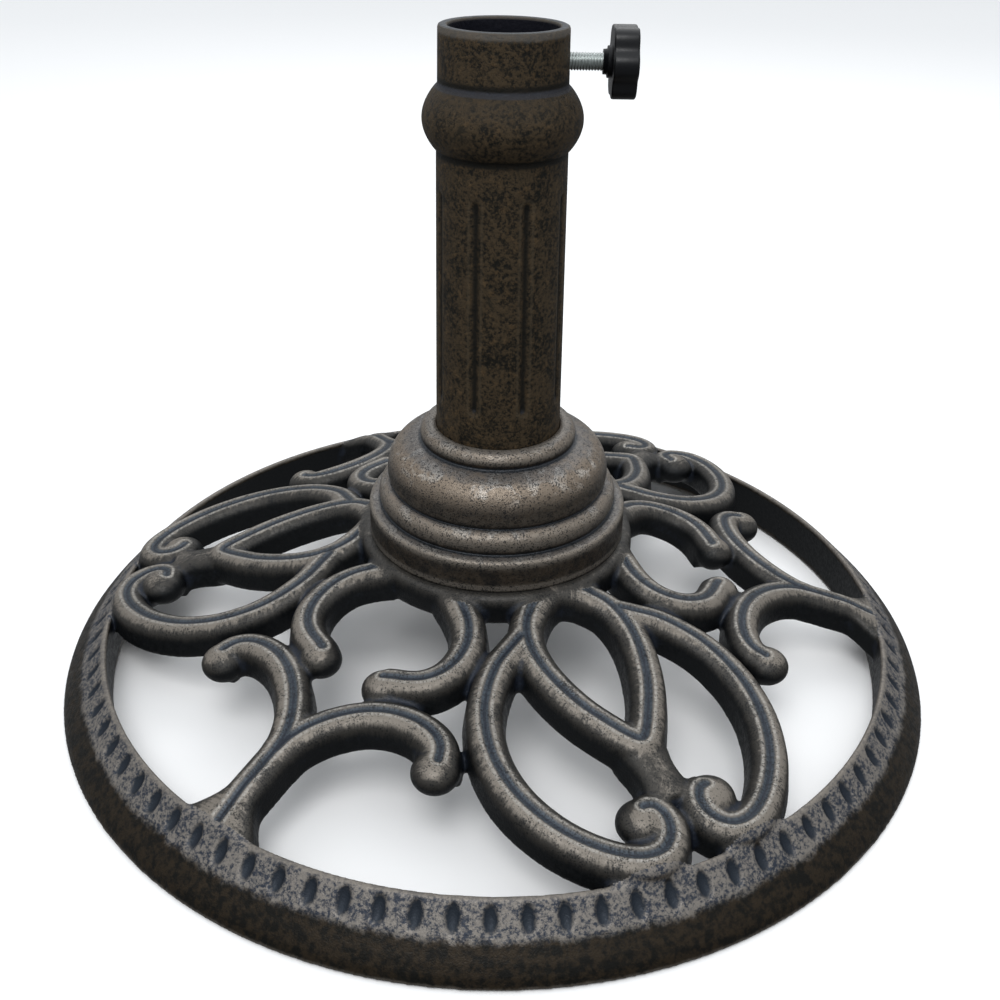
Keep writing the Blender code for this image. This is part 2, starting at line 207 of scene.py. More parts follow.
def neighbour_mean(values, pairs):
    """For each vertex, the mean of a quantity over the vertices that share an edge with it."""
    count = np.bincount(pairs.ravel(), minlength=len(values)).astype(float)
    total = np.zeros_like(values, dtype=float)
    columns = total.reshape(len(values), -1)
    source = values.reshape(len(values), -1)
    for axis in range(columns.shape[1]):
        column = source[:, axis]
        columns[:, axis] = (np.bincount(pairs[:, 0], weights=column[pairs[:, 1]], minlength=len(column))
                            + np.bincount(pairs[:, 1], weights=column[pairs[:, 0]], minlength=len(column)))
    return (columns / np.maximum(count, 1)[:, None]).reshape(values.shape)


def ramp(value, low, high):
    """Smooth step from 0 at low to 1 at high."""
    t = np.clip((value - low) / (high - low), 0.0, 1.0)
    return t * t * (3 - 2 * t)


def attribute(mesh, name, values):
    data = mesh.attributes.new(name, "FLOAT", "POINT")
    data.data.foreach_set("value", np.ascontiguousarray(values, dtype=np.float32))


def relief(mesh, rounds=10):
    """How hollow (positive) or proud (negative) each vertex is, about -1 to 1 on cast detail."""
    points = vertices(mesh)
    pairs = edge_pairs(mesh)
    soft = points.copy()
    for _ in range(rounds):
        soft = neighbour_mean(soft, pairs)
    depth = ((soft - points) * vertex_normals(mesh)).sum(axis=1)
    for _ in range(2):
        depth = neighbour_mean(depth, pairs)
    return depth / (0.5 * MM)


# Casting -----------------------------------------------------------------------------------

def dome_top(radius):
    run = DOME_EDGE_R - radius
    return DOME_EDGE_Z + DOME_SLOPE * run + DOME_BOW * run * run


def spline_points(route, spacing=1.5 * MM, closed=False):
    """Evenly spaced points along a smooth curve through a route given in mm (Catmull-Rom)."""
    knots = np.array(route, float) * MM
    count = len(knots)
    fine = []
    spans = count if closed else count - 1
    for index in range(spans):
        if closed:
            a, b, c, d = (knots[(index + k) % count] for k in (-1, 0, 1, 2))
        else:
            a, b, c, d = (knots[min(max(index + k, 0), count - 1)] for k in (-1, 0, 1, 2))
        for t in np.linspace(0, 1, 16, endpoint=False):
            fine.append(0.5 * (2 * b + (c - a) * t + (2 * a - 5 * b + 4 * c - d) * t * t
                               + (3 * b - a - 3 * c + d) * t ** 3))
    fine.append(knots[0] if closed else knots[-1])
    fine = np.array(fine)
    along = np.r_[0, np.cumsum(np.linalg.norm(np.diff(fine, axis=0), axis=1))]
    steps = max(int(along[-1] / spacing), 4)
    even = np.linspace(0, along[-1], steps + 1)
    return np.stack([np.interp(even, along, fine[:, k]) for k in (0, 1)], axis=1)


def bar_section():
    """Half outline of a bar from its foot to its crown: (across, up from the underside)."""
    shoulder = BAR_HEIGHT - SHOULDER_RISE
    points = [(FOOT_HALF - 1.2 * MM, 0.0), (FOOT_HALF, 1.2 * MM), (SHOULDER_HALF, shoulder)]
    for step in range(1, 9):
        turn = math.pi / 2 * step / 8
        points.append((SHOULDER_HALF * math.cos(turn) ** 0.9,
                       shoulder + SHOULDER_RISE * math.sin(turn) ** 0.85))
    return points


def bar_mesh(path, swell=None, sink=0.0):
    """A bar swept along a plan path on the dome; swell widens it and sink lowers it."""
    half = bar_section()
    outline = half + [(-x, z) for x, z in reversed(half[:-1])]
    tangent = np.gradient(path, axis=0)
    tangent /= np.linalg.norm(tangent, axis=1)[:, None]
    side = np.stack([tangent[:, 1], -tangent[:, 0]], axis=1)
    radius = np.hypot(path[:, 0], path[:, 1])
    widths = np.ones(len(path)) if swell is None else swell
    floors = dome_top(radius) - BAR_HEIGHT - sink
    rings = []
    for point, across, floor, width in zip(path, side, floors, widths):
        rings.append([(point[0] + across[0] * x * width, point[1] + across[1] * x * width, floor + z)
                      for x, z in outline])
    count = len(outline)
    faces = [list(range(count))[::-1], [(len(rings) - 1) * count + k for k in range(count)]]
    for ring in range(len(rings) - 1):
        for k in range(count):
            nxt = (k + 1) % count
            faces.append((ring * count + k, ring * count + nxt,
                          (ring + 1) * count + nxt, (ring + 1) * count + k))
    mesh = bpy.data.meshes.new("bar")
    mesh.from_pydata([v for ring in rings for v in ring], [], faces)
    return mesh


def lump_mesh(at, size, height=BAR_HEIGHT):
    """A rounded swelling; the place and size are in mm."""
    x, y = at[0] * MM, -at[1] * MM
    bm = bmesh.new()
    bmesh.ops.create_uvsphere(bm, u_segments=32, v_segments=20, radius=1.0)
    scale = Matrix.Diagonal((size[0] * MM, size[1] * MM, height / 2, 1.0))
    centre = Matrix.Translation((x, y, dome_top(math.hypot(x, y)) - BAR_HEIGHT + height / 2))
    bmesh.ops.transform(bm, matrix=centre @ scale, verts=bm.verts)
    mesh = bpy.data.meshes.new("lump")
    bm.to_mesh(mesh)
    bm.free()
    return mesh


def turned_mesh(profile, steps):
    """A solid of revolution from a closed outline of (radius, height) points."""
    mesh = bpy.data.meshes.new("profile")
    edges = [(i, (i + 1) % len(profile)) for i in range(len(profile))]
    mesh.from_pydata([(r, 0.0, z) for r, z in profile], edges, [])
    obj = link("profile", mesh)
    screw = obj.modifiers.new("screw", "SCREW")
    screw.angle = math.tau
    screw.steps = steps
    screw.render_steps = steps
    screw.use_merge_vertices = True
    screw.merge_threshold = 0.00001
    screw.use_smooth_shade = True
    turned = evaluated(obj)
    bm = bmesh.new()
    bm.from_mesh(turned)
    bmesh.ops.recalc_face_normals(bm, faces=bm.faces)
    bm.to_mesh(turned)
    bm.free()
    return turned


def to_plan(route, side=1):
    """Route points as plan coordinates with the motif's axis along -Y."""
    return [(side * x, -y) for x, y in route]


def motif_paths():
    """The centre line of every bar in one sector: (name, turn about Z, plan points)."""
    tulip = 0.0
    branch = math.pi / SECTORS
    lens = to_plan(LENS) + to_plan([LENS_TIP]) + to_plan(LENS, -1)[::-1]
    paths = [("lens", tulip, spline_points(lens))]
    for side in (1, -1):
        paths.append(("loop", tulip, spline_points(to_plan(LOOP, side))))
        paths.append(("arm", branch, spline_points(to_plan(ARM, side))))
        paths.append(("scroll", branch, spline_points(to_plan(HUB_SCROLL, side))))
    paths.append(("trunk", branch, spline_points(to_plan(TRUNK))))
    return paths


def turned_plan(points, angle):
    c, s = math.cos(angle), math.sin(angle)
    return points @ np.array([[c, s], [-s, c]])


def rim_profile():
    lip = 1.6 * MM
    outline = [(RIM_INNER_R + 0.8 * MM, 0.0), (RIM_INNER_R, 0.8 * MM), (RIM_INNER_R, RIM_TOP - lip),
               (RIM_INNER_R + 0.5 * MM, RIM_TOP - 0.5 * MM), (RIM_INNER_R + lip, RIM_TOP - 0.3 * MM),
               (RIM_INNER_R + 3.0 * MM, RIM_TOP - 1.4 * MM)]
    outline += [(CREASE_R - 0.8 * MM, CREASE_Z + 0.6 * MM), (CREASE_R + 0.8 * MM, CREASE_Z - 0.9 * MM)]
    outline += [(BASE_R - 5.2 * MM, 9.4 * MM), (BASE_R - 2.0 * MM, 5.4 * MM), (BASE_R - 0.4 * MM, 1.6 * MM),
                (BASE_R, 0.6 * MM), (BASE_R - 0.8 * MM, 0.0)]
    return outline


def hub_profile():
    hole = BOLT_HOLE_R
    return [(hole, HUB_BOTTOM), (hole, HUB_TOP - 0.2 * MM), (HUB_R - 3.2 * MM, HUB_TOP - 0.2 * MM),
            (HUB_R - 1.2 * MM, HUB_TOP - 0.9 * MM), (HUB_R, HUB_TOP - 3.2 * MM),
            (HUB_R + 0.3 * MM, HUB_TOP - 8.0 * MM), (HUB_R, HUB_BOTTOM + 1.5 * MM),
            (HUB_R - 1.5 * MM, HUB_BOTTOM)]


def trunk_sink(reach):
    """How far a trunk's crown lies below the dome, at a distance from the middle of the base."""
    return (TRUNK_SINK * ramp(reach, 186 * MM, 204 * MM)
            + TRUNK_FALL * ramp(reach, 203 * MM, 216 * MM))


def near_trunk(angle, radius):
    """1 on a trunk and beside it, 0 elsewhere."""
    pitch = math.tau / SECTORS
    turn = np.mod(angle - FIRST_AXIS, pitch) - pitch / 2
    return 1 - ramp(np.abs(turn) * radius, 20 * MM, 30 * MM)


def sector_solids():
    """The closed solids of one sector, with the tulip's axis along -Y."""
    solids = []
    for name, turn, path in motif_paths():
        swell, sink = None, 0.0
        if name == "trunk":
            reach = np.hypot(path[:, 0], path[:, 1])
            swell = 1 + TRUNK_FLARE * ramp(reach, 188 * MM, 208 * MM)
            sink = trunk_sink(reach)
        mesh = bar_mesh(path, swell, sink)
        mesh.transform(Matrix.Rotation(turn, 4, "Z"))
        solids.append(mesh)
    neck = spline_points(to_plan(NECK))
    reach = -neck[:, 1]
    waist = 1.35 - 0.22 * ramp(reach, 150 * MM, 162 * MM) + 0.12 * ramp(reach, 164 * MM, 172 * MM)
    solids.append(bar_mesh(neck, waist, NECK_DROP))
    for side in (1, -1):
        solids.append(lump_mesh((side * LOOP_BULB[0], LOOP_BULB[1]), LOOP_BULB_SIZE))
        web = (side * LOOP_WEB[0], LOOP_WEB[1])
        solids.append(lump_mesh(web, LOOP_WEB_SIZE, BAR_HEIGHT * WEB_SHARE))
        for bulb, size in ((ARM_BULB, BULB_R), (SCROLL_BULB, BULB_R * 0.92)):
            mesh = lump_mesh((side * bulb[0], bulb[1]), (size, size))
            mesh.transform(Matrix.Rotation(math.pi / SECTORS, 4, "Z"))
            solids.append(mesh)
    return solids


def centre_lines():
    """Points, directions and distances along all the bars' centre lines, in plan."""
    points, ways, lengths = [], [], []
    for _, turn, path in motif_paths():
        fine = turned_plan(path, turn)
        halfway = (fine[1:] + fine[:-1]) / 2
        fine = np.vstack([np.stack([fine[:-1], halfway], axis=1).reshape(-1, 2), fine[-1:]])
        step = np.gradient(fine, axis=0)
        size = np.linalg.norm(step, axis=1)
        way = step / size[:, None]
        for index in range(SECTORS):
            axis = FIRST_AXIS + math.pi / 2 + index * math.tau / SECTORS
            points.append(turned_plan(fine, axis))
            ways.append(turned_plan(way, axis))
            lengths.append(np.cumsum(size) + 0.13 * len(lengths))
    return np.vstack(points), np.vstack(ways), np.concatenate(lengths)


def nearest_lines(spots):
    """For each plan point, its distance from the nearest centre line and how far along it lies."""
    points, ways, lengths = centre_lines()
    tree = KDTree(len(points))
    for index, (x, y) in enumerate(points):
        tree.insert((x, y, 0.0), index)
    tree.balance()
    found = [tree.find((x, y, 0.0)) for x, y in spots]
    which = np.array([hit[1] for hit in found])
    away = np.array([hit[2] for hit in found])
    return away, lengths[which] + ((spots - points[which]) * ways[which]).sum(axis=1)


def joined(meshes):
    bm = bmesh.new()
    for mesh in meshes:
        bm.from_mesh(mesh)
    whole = bpy.data.meshes.new("joined")
    bm.to_mesh(whole)
    bm.free()
    return whole


def cast_mesh():
    """Rim, hub disc and scrollwork as one voxel skin with soft fillets, grooves and dents."""
    sector = joined(sector_solids())
    solids = [turned_mesh(rim_profile(), 360), turned_mesh(hub_profile(), 180)]
    for index in range(SECTORS):
        copy = sector.copy()
        copy.transform(Matrix.Rotation(FIRST_AXIS + math.pi / 2 + index * math.tau / SECTORS, 4, "Z"))
        solids.append(copy)
    block = link("casting", joined(solids))
    remesh = block.modifiers.new("skin", "REMESH")
    remesh.mode = "VOXEL"
    remesh.voxel_size = VOXEL
    mesh = evaluated(block)
    soften(mesh)
    engrave(mesh)
    return smooth(mesh)


def soften(mesh):
    """Relax the voxel skin everywhere a little, and much more in the hollow corners."""
    pairs = edge_pairs(mesh)
    points = vertices(mesh)
    for _ in range(4):
        points += 0.5 * (neighbour_mean(points, pairs) - points)
    set_vertices(mesh, points)
    for _ in range(3):
        hollow = ramp(relief(mesh, 6), 0.05, 0.5)[:, None]
        for _ in range(6):
            points += 0.6 * hollow * (neighbour_mean(points, pairs) - points)
        set_vertices(mesh, points)
    points[:, 2] = np.maximum(points[:, 2], 0.0)
    set_vertices(mesh, points)


def engrave(mesh):
    """Cut the bars' grooves and the rim's dents, and store what the paint needs."""
    points = vertices(mesh)
    normal = vertex_normals(mesh)
    radius = np.hypot(points[:, 0], points[:, 1])
    away, along_bar = nearest_lines(points[:, :2])
    angle = np.arctan2(points[:, 1], points[:, 0])
    crown = dome_top(radius) - trunk_sink(radius) * near_trunk(angle, radius)
    # drop, the fall below the crown, drives the painted shade low on the walls and the painted light on the
    # crowns; round the hub it is raised, which darkens the flange with the same painted shade
    drop = (crown - points[:, 2]) / BAR_HEIGHT
    drop += 0.16 * (1 - ramp(radius, HUB_R - 2 * MM, HUB_R + 5 * MM))
    on_bar = ramp(radius, HUB_R + 0.5 * MM, HUB_R + 5 * MM) * (1 - ramp(radius, 203 * MM, 206 * MM))
    on_top = ramp(normal[:, 2], 0.35, 0.75) * (1 - ramp(drop, 0.18, 0.4)) * on_bar
    across = np.clip(away / GROOVE_HALF, 0, 1)
    points[:, 2] -= GROOVE_DEPTH * (1 - across ** 1.5) * on_top
    pitch = math.tau / DENTS
    offset = (np.mod(angle, pitch) - pitch / 2) * radius
    middle = (CREASE_R + RIM_INNER_R) / 2 + 0.6 * MM
    slope = math.hypot(CREASE_R - RIM_INNER_R, RIM_TOP - CREASE_Z) / (CREASE_R - RIM_INNER_R)
    along = (radius - middle) * slope / (DENT_LENGTH / 2)
    beside = offset / (DENT_WIDTH / 2)
    spread = np.sqrt(along ** 2 + beside ** 2)
    face = ramp(normal[:, 2], 0.3, 0.6) * (radius > RIM_INNER_R + 1 * MM)
    dent = np.clip(1 - spread ** 2, 0, 1) ** 0.8 * face
    points -= normal * (DENT_DEPTH * dent)[:, None]
    set_vertices(mesh, points)
    attribute(mesh, "relief", relief(mesh, 9))
    attribute(mesh, "away", np.where(on_top > 0.05, away / CM, 1.0))
    attribute(mesh, "along", along_bar / CM)
    attribute(mesh, "outward", (radius - CREASE_R) / CM)
    attribute(mesh, "dent", np.where(face > 0.05, np.minimum(spread, 2.0), 2.0))
    attribute(mesh, "drop", np.clip(drop, -1, 2))


def split(mesh, keep, name):
    """The part of the casting whose faces pass a test on their centres."""
    centres = np.empty(len(mesh.polygons) * 3)
    mesh.polygons.foreach_get("center", centres)
    wanted = keep(centres.reshape(-1, 3))
    bm = bmesh.new()
    bm.from_mesh(mesh)
    bm.faces.ensure_lookup_table()
    bmesh.ops.delete(bm, geom=[f for f, ok in zip(bm.faces, wanted) if not ok], context="FACES")
    part = bpy.data.meshes.new(name)
    bm.to_mesh(part)
    bm.free()
    return smooth(part)


def sector_test(axis, half, inner, outer):
    """A test for faces within an angle of an axis and between two radii."""
    def test(centres):
        radius = np.hypot(centres[:, 0], centres[:, 1])
        angle = np.arctan2(centres[:, 1], centres[:, 0]) - axis
        angle = np.abs((angle + math.pi) % math.tau - math.pi)
        return (angle < half) & (radius >= inner) & (radius < outer)
    return test


def build_casting():
    """One skin, parted along the same lines as the CAD nodes, so each part can be picked."""
    mesh = cast_mesh()
    paint = bar_bronze()
    rim_paint = rim_bronze()
    parts = [("rim_casting", sector_test(0, math.tau, RIM_INNER_R, 1), rim_paint, ["base_rim"]),
             ("hub_casting", sector_test(0, math.tau, 0, HUB_EDGE_R), paint, ["hub_disc"])]
    for index in range(SECTORS):
        axis = FIRST_AXIS + index * math.tau / SECTORS
        number = index + 1
        tulip = sector_test(axis, TULIP_HALF_ANGLE, HUB_EDGE_R, RIM_INNER_R)
        parts.append((f"tulip_casting_{number}", tulip, paint,
                      [f"tulip_lens_{number}", f"tulip_loop_left_{number}",
                       f"tulip_loop_right_{number}"]))
        branch = sector_test(axis + math.pi / SECTORS, BRANCH_HALF_ANGLE, HUB_EDGE_R, RIM_INNER_R)
        parts.append((f"branch_casting_{number}", branch, paint,
                      [f"branch_{number}", f"hub_scroll_left_{number}",
                       f"hub_scroll_right_{number}"]))
    for name, test, coat, nodes in parts:
        piece = link(name, split(mesh, test, name))
        piece.data.materials.append(coat)
        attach(piece, "base")
        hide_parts(*nodes)
    bpy.data.meshes.remove(mesh)


# Materials ---------------------------------------------------------------------------------

class Nodes:
    """A few shorthands for one material's node tree."""

    def __init__(self, name):
        self.material = bpy.data.materials.new(name)
        self.material.use_nodes = True
        self.tree = self.material.node_tree
        self.shader = self.tree.nodes["Principled BSDF"]
        self.coords = self.tree.nodes.new("ShaderNodeTexCoord").outputs["Object"]

    def feed(self, socket, value):
        if isinstance(value, bpy.types.NodeSocket):
            self.tree.links.new(value, socket)
        elif isinstance(value, tuple):
            socket.default_value = (*value, 1.0)
        else:
            socket.default_value = value

    def vector(self, x, y, z=0.0):
        node = self.tree.nodes.new("ShaderNodeCombineXYZ")
        for socket, value in zip(node.inputs, (x, y, z)):
            self.feed(socket, value)
        return node.outputs["Vector"]

    def noise(self, scale, detail=3.0, rough=0.55, distort=0.0, coords=None):
        node = self.tree.nodes.new("ShaderNodeTexNoise")
        self.tree.links.new(coords or self.coords, node.inputs["Vector"])
        node.inputs["Scale"].default_value = scale
        node.inputs["Detail"].default_value = detail
        node.inputs["Roughness"].default_value = rough
        node.inputs["Distortion"].default_value = distort
        return node.outputs["Fac"]

    def attribute(self, name):
        node = self.tree.nodes.new("ShaderNodeAttribute")
        node.attribute_name = name
        return node.outputs["Fac"]

    def math(self, operation, a, b=0.0):
        node = self.tree.nodes.new("ShaderNodeMath")
        node.operation = operation
        self.feed(node.inputs[0], a)
        self.feed(node.inputs[1], b)
        return node.outputs[0]

    def range(self, value, low, high, to_low=0.0, to_high=1.0):
        node = self.tree.nodes.new("ShaderNodeMapRange")
        node.interpolation_type = "SMOOTHSTEP"
        self.feed(node.inputs["Value"], value)
        node.inputs["From Min"].default_value = low
        node.inputs["From Max"].default_value = high
        node.inputs["To Min"].default_value = to_low
        node.inputs["To Max"].default_value = to_high
        return node.outputs["Result"]

    def mix(self, factor, a, b):
        node = self.tree.nodes.new("ShaderNodeMix")
        node.data_type = "RGBA"
        self.feed(node.inputs["Factor"], factor)
        self.feed(node.inputs["A"], a)
        self.feed(node.inputs["B"], b)
        return node.outputs["Result"]

    def bump(self, height, strength, distance):
        node = self.tree.nodes.new("ShaderNodeBump")
        node.inputs["Strength"].default_value = strength
        node.inputs["Distance"].default_value = distance
        self.tree.links.new(height, node.inputs["Height"])
        self.tree.links.new(node.outputs["Normal"], self.shader.inputs["Normal"])

    def up(self):
        """The surface normal's upward part, from -1 to 1."""
        geometry = self.tree.nodes.new("ShaderNodeNewGeometry")
        part = self.tree.nodes.new("ShaderNodeSeparateXYZ")
        self.tree.links.new(geometry.outputs["Normal"], part.inputs["Vector"])
        return part.outputs["Z"]


def grains(n):
    """Noises of the rubbed paint: fine grain, blotches and specks, each about 0.2 to 0.8."""
    return n.noise(430, 5, 0.7), n.noise(95, 4, 0.65, 0.8), n.noise(1350, 2, 0.5)


def shaken(n, value, *noises):
    """A value with noises added; each noise comes with the amount to add."""
    for noise, amount in noises:
        value = n.math("ADD", value, n.math("MULTIPLY", n.math("SUBTRACT", noise, 0.5), amount))
    return value


def finish(n, colour, grain, speck, metallic=0.35, rough=(0.32, 0.56), depth=0.0004, gloss=0.4):
    n.feed(n.shader.inputs["Base Color"], colour)
    n.feed(n.shader.inputs["Roughness"], n.range(grain, 0.3, 0.7, *rough))
    n.shader.inputs["Metallic"].default_value = metallic
    n.shader.inputs["Specular IOR Level"].default_value = gloss
    n.bump(n.math("ADD", grain, n.math("MULTIPLY", speck, 0.6)), 0.55, depth)
    return n.material


def bar_bronze():
    """Black-brown casting: tan crowns as rubbed paint and painted light, a painted highlight on the groove
    lips, slate grooves partly painted sky reflection, painted shade in the hollows and low on the walls.
    """
    n = Nodes("bar_bronze")
    grain, blotch, speck = grains(n)
    along, away = n.attribute("along"), n.attribute("away")
    streak = n.noise(7.0, 3, 0.6, 0.3, n.vector(along, n.math("MULTIPLY", n.attribute("drop"), 0.35)))
    line = shaken(n, away, (grain, 0.10), (streak, 0.08))
    drop = shaken(n, n.attribute("drop"), (blotch, 0.20), (grain, 0.20), (streak, 0.26))
    form = shaken(n, n.attribute("relief"), (grain, 0.8))
    upward = n.range(n.up(), 0.1, 0.9)
    # painted shade: umber going to near-black lower down the walls, standing in for the shade on the bars'
    # sides
    colour = n.mix(n.range(drop, 0.10, 0.42), UMBER, INK)
    # tan on the upward crowns: partly rubbed paint, partly painted light where the tops face the sky
    rubbed_and_lit = n.math("MULTIPLY", n.range(drop, 0.115, 0.0), n.range(upward, 0.0, 1.0, 0.1, 1.0))
    colour = n.mix(rubbed_and_lit, colour, TAN)
    # painted highlight: a pale band along each lip of the groove
    lip = n.math("MULTIPLY", n.range(line, 0.22, 0.30), n.range(line, 0.46, 0.34))
    colour = n.mix(n.math("MULTIPLY", lip, n.range(streak, 0.38, 0.60, 0.15, 0.85)), colour, PALE)
    # painted shade: navy in the hollows and fillets
    colour = n.mix(n.range(form, 0.05, 0.60), colour, NAVY)
    # slate in the groove: partly paint colour, partly painted sky reflection; the navy line along its
    # bottom is painted shade
    cool = n.mix(n.range(streak, 0.40, 0.62), SLATE, (0.022, 0.028, 0.036))
    colour = n.mix(n.range(line, 0.28, 0.12), colour, cool)
    colour = n.mix(n.range(line, 0.10, 0.03), colour, NAVY)
    flecks = n.range(shaken(n, speck, (blotch, 0.5)), 0.56, 0.66, 0.0, 0.8)
    colour = n.mix(flecks, colour, INK)
    return finish(n, colour, grain, speck, gloss=0.3)


def rim_bronze():
    """Taupe flecked with blue-black on the face, dents darkened as painted shade, dark brown mottled outer
    wall; navy painted shade in the hollows, tan on proud edges as rubbed paint and painted highlight.
    """
    n = Nodes("rim_bronze")
    grain, blotch, speck = grains(n)
    fine = n.noise(600, 5, 0.75)
    dent = shaken(n, n.attribute("dent"), (grain, 0.6))
    form = shaken(n, n.attribute("relief"), (grain, 0.7))
    outward = shaken(n, n.attribute("outward"), (blotch, 0.5), (grain, 0.25))
    wall = shaken(n, n.noise(230, 4, 0.7), (blotch, 0.3))
    colour = n.mix(n.range(wall, 0.40, 0.62), (0.0215, 0.0150, 0.0085), (0.004, 0.0038, 0.0028))
    colour = n.mix(n.range(fine, 0.50, 0.64, 0.0, 0.6), colour, (0.0040, 0.0038, 0.0034))
    face = n.math("MULTIPLY", n.range(outward, 0.10, -0.22), n.range(n.up(), 0.15, 0.5))
    paint = n.mix(n.range(shaken(n, fine, (blotch, 0.35)), 0.42, 0.60), (0.180, 0.164, 0.147),
                  (0.026, 0.032, 0.045))
    colour = n.mix(face, colour, paint)
    # tan on the proud edges: rubbed paint and a painted highlight
    colour = n.mix(n.range(form, -0.4, -1.0, 0.0, 0.6), colour, TAN)
    # painted shade: navy in the hollows
    colour = n.mix(n.range(form, 0.2, 0.8, 0.0, 0.8), colour, NAVY)
    # painted shade in the dents
    colour = n.mix(n.range(dent, 1.10, 0.60), colour, (0.015, 0.020, 0.028))
    return finish(n, colour, grain, speck, gloss=0.2)


def bell_bronze():
    """Brown rolls, tan as painted light on the upward faces and as rubbed paint and painted highlight on
    the edges, painted highlight patches, slate as painted sky reflection on the flat steps, dark painted
    shade in the hollows.
    """
    n = Nodes("bell_bronze")
    grain, blotch, speck = grains(n)
    form = shaken(n, n.attribute("relief"), (grain, 0.7), (blotch, 0.3))
    level = shaken(n, n.up(), (blotch, 0.45), (grain, 0.3))
    colour = n.mix(n.range(blotch, 0.40, 0.62), (0.036, 0.026, 0.017), (0.018, 0.015, 0.012))
    # painted light: tan on the faces that turn upward
    colour = n.mix(n.range(level, 0.10, 0.60), colour, (0.190, 0.149, 0.111))
    # painted highlight: pale patches on the upward faces
    bright = n.math("MULTIPLY", n.range(level, 0.35, 0.65), n.range(blotch, 0.50, 0.64))
    colour = n.mix(bright, colour, (0.40, 0.36, 0.315))
    # painted reflection of the sky: slate on the faces that look straight up
    colour = n.mix(n.range(level, 0.75, 1.0, 0.0, 0.60), colour, SLATE)
    # tan on the proud edges: rubbed paint and a painted highlight
    colour = n.mix(n.range(form, -0.30, -1.1, 0.0, 0.75), colour, TAN)
    # painted shade: dark in the hollows between the rolls
    colour = n.mix(n.range(form, 0.0, 0.8), colour, (0.024, 0.028, 0.034))
    flecks = n.range(shaken(n, speck, (grain, 0.5), (blotch, 0.3)), 0.53, 0.64, 0.0, 0.85)
    colour = n.mix(flecks, colour, INK)
    return finish(n, colour, grain, speck, 0.4, (0.26, 0.46), 0.0006)


def column_bronze():
    """Dark olive-brown paint with a fine pitted grain, blacker in the flutes."""
    n = Nodes("column_bronze")
    patch = n.noise(75, 5, 0.7, 1.2)
    grain = n.noise(620, 5, 0.75)
    rust = n.noise(260, 4, 0.7)
    form = shaken(n, n.attribute("relief"), (grain, 1.1), (patch, 0.7))
    mottled = n.math("ADD", n.math("MULTIPLY", patch, 0.35), n.math("MULTIPLY", grain, 0.65))
    colour = n.mix(n.range(mottled, 0.42, 0.56), (0.0065, 0.0062, 0.0045), (0.060, 0.042, 0.0232))
    colour = n.mix(n.range(rust, 0.54, 0.70, 0.0, 0.55), colour, (0.112, 0.071, 0.034))
    colour = n.mix(n.range(patch, 0.60, 0.70, 0.0, 0.7), colour, (0.006, 0.0075, 0.006))
    flute = shaken(n, n.attribute("flute"), (grain, 1.0), (patch, 1.1))
    depth = n.attribute("flute")
    lip = n.math("MULTIPLY", n.range(depth, 0.02, 0.10), n.range(depth, 0.4, 0.15))
    colour = n.mix(n.math("MULTIPLY", lip, 0.35), colour, (0.080, 0.062, 0.040))
    colour = n.mix(n.range(flute, 0.40, 1.05, 0.0, 0.72), colour, (0.007, 0.007, 0.0055))
    # painted shade: black in the creases that face down; painted sky light: slate-blue in those that face
    # up
    hollow = n.mix(n.range(n.up(), 0.05, 0.35), (0.005, 0.005, 0.004), (0.034, 0.038, 0.050))
    colour = n.mix(n.range(form, 0.25, 0.8, 0.0, 0.9), colour, hollow)
    colour = n.mix(n.range(form, -0.55, -1.2, 0.0, 0.4), colour, (0.200, 0.186, 0.168))
    shade = n.range(n.up(), 0.0, 0.7, 0.0, 0.45)
    colour = n.mix(shade, colour, (0.020, 0.016, 0.011))
    # painted reflection of the sky: slate on the faces that look straight up, such as the top lip
    colour = n.mix(n.range(n.up(), 0.80, 0.99, 0.0, 0.6), colour, SLATE)
    # painted shade: near-black inside the bore
    colour = n.mix(n.attribute("inside"), colour, (0.002, 0.0025, 0.007))
    return finish(n, colour, grain, rust, 0.3, (0.5, 0.72), 0.0012, 0.22)


def zinc():
    n = Nodes("zinc_plate")
    grain = n.noise(900, 3, 0.5)
    n.feed(n.shader.inputs["Base Color"], n.mix(grain, (0.34, 0.37, 0.36), (0.52, 0.56, 0.55)))
    n.feed(n.shader.inputs["Roughness"], n.range(grain, 0.3, 0.7, 0.28, 0.42))
    n.shader.inputs["Metallic"].default_value = 0.9
    return n.material


def black_plastic():
    n = Nodes("black_plastic")
    grain = n.noise(1400, 2, 0.5)
    n.feed(n.shader.inputs["Base Color"], n.mix(grain, (0.002, 0.0022, 0.003), (0.004, 0.0045, 0.006)))
    n.feed(n.shader.inputs["Roughness"], n.range(grain, 0.3, 0.7, 0.28, 0.40))
    n.shader.inputs["Specular IOR Level"].default_value = 0.26
    n.bump(grain, 0.2, 0.0001)
    return n.material


# Bell cover and column ---------------------------------------------------------------------

def moulded(points, corners, spacing=0.8 * MM):
    """A profile in mm made smooth between the points listed as corners."""
    out = []
    start = 0
    for end in corners[1:]:
        run = spline_points(points[start:end + 1], spacing)
        out += [tuple(p) for p in run[:-1]]
        start = end
    out.append(tuple(np.array(points[-1]) * MM))
    return out


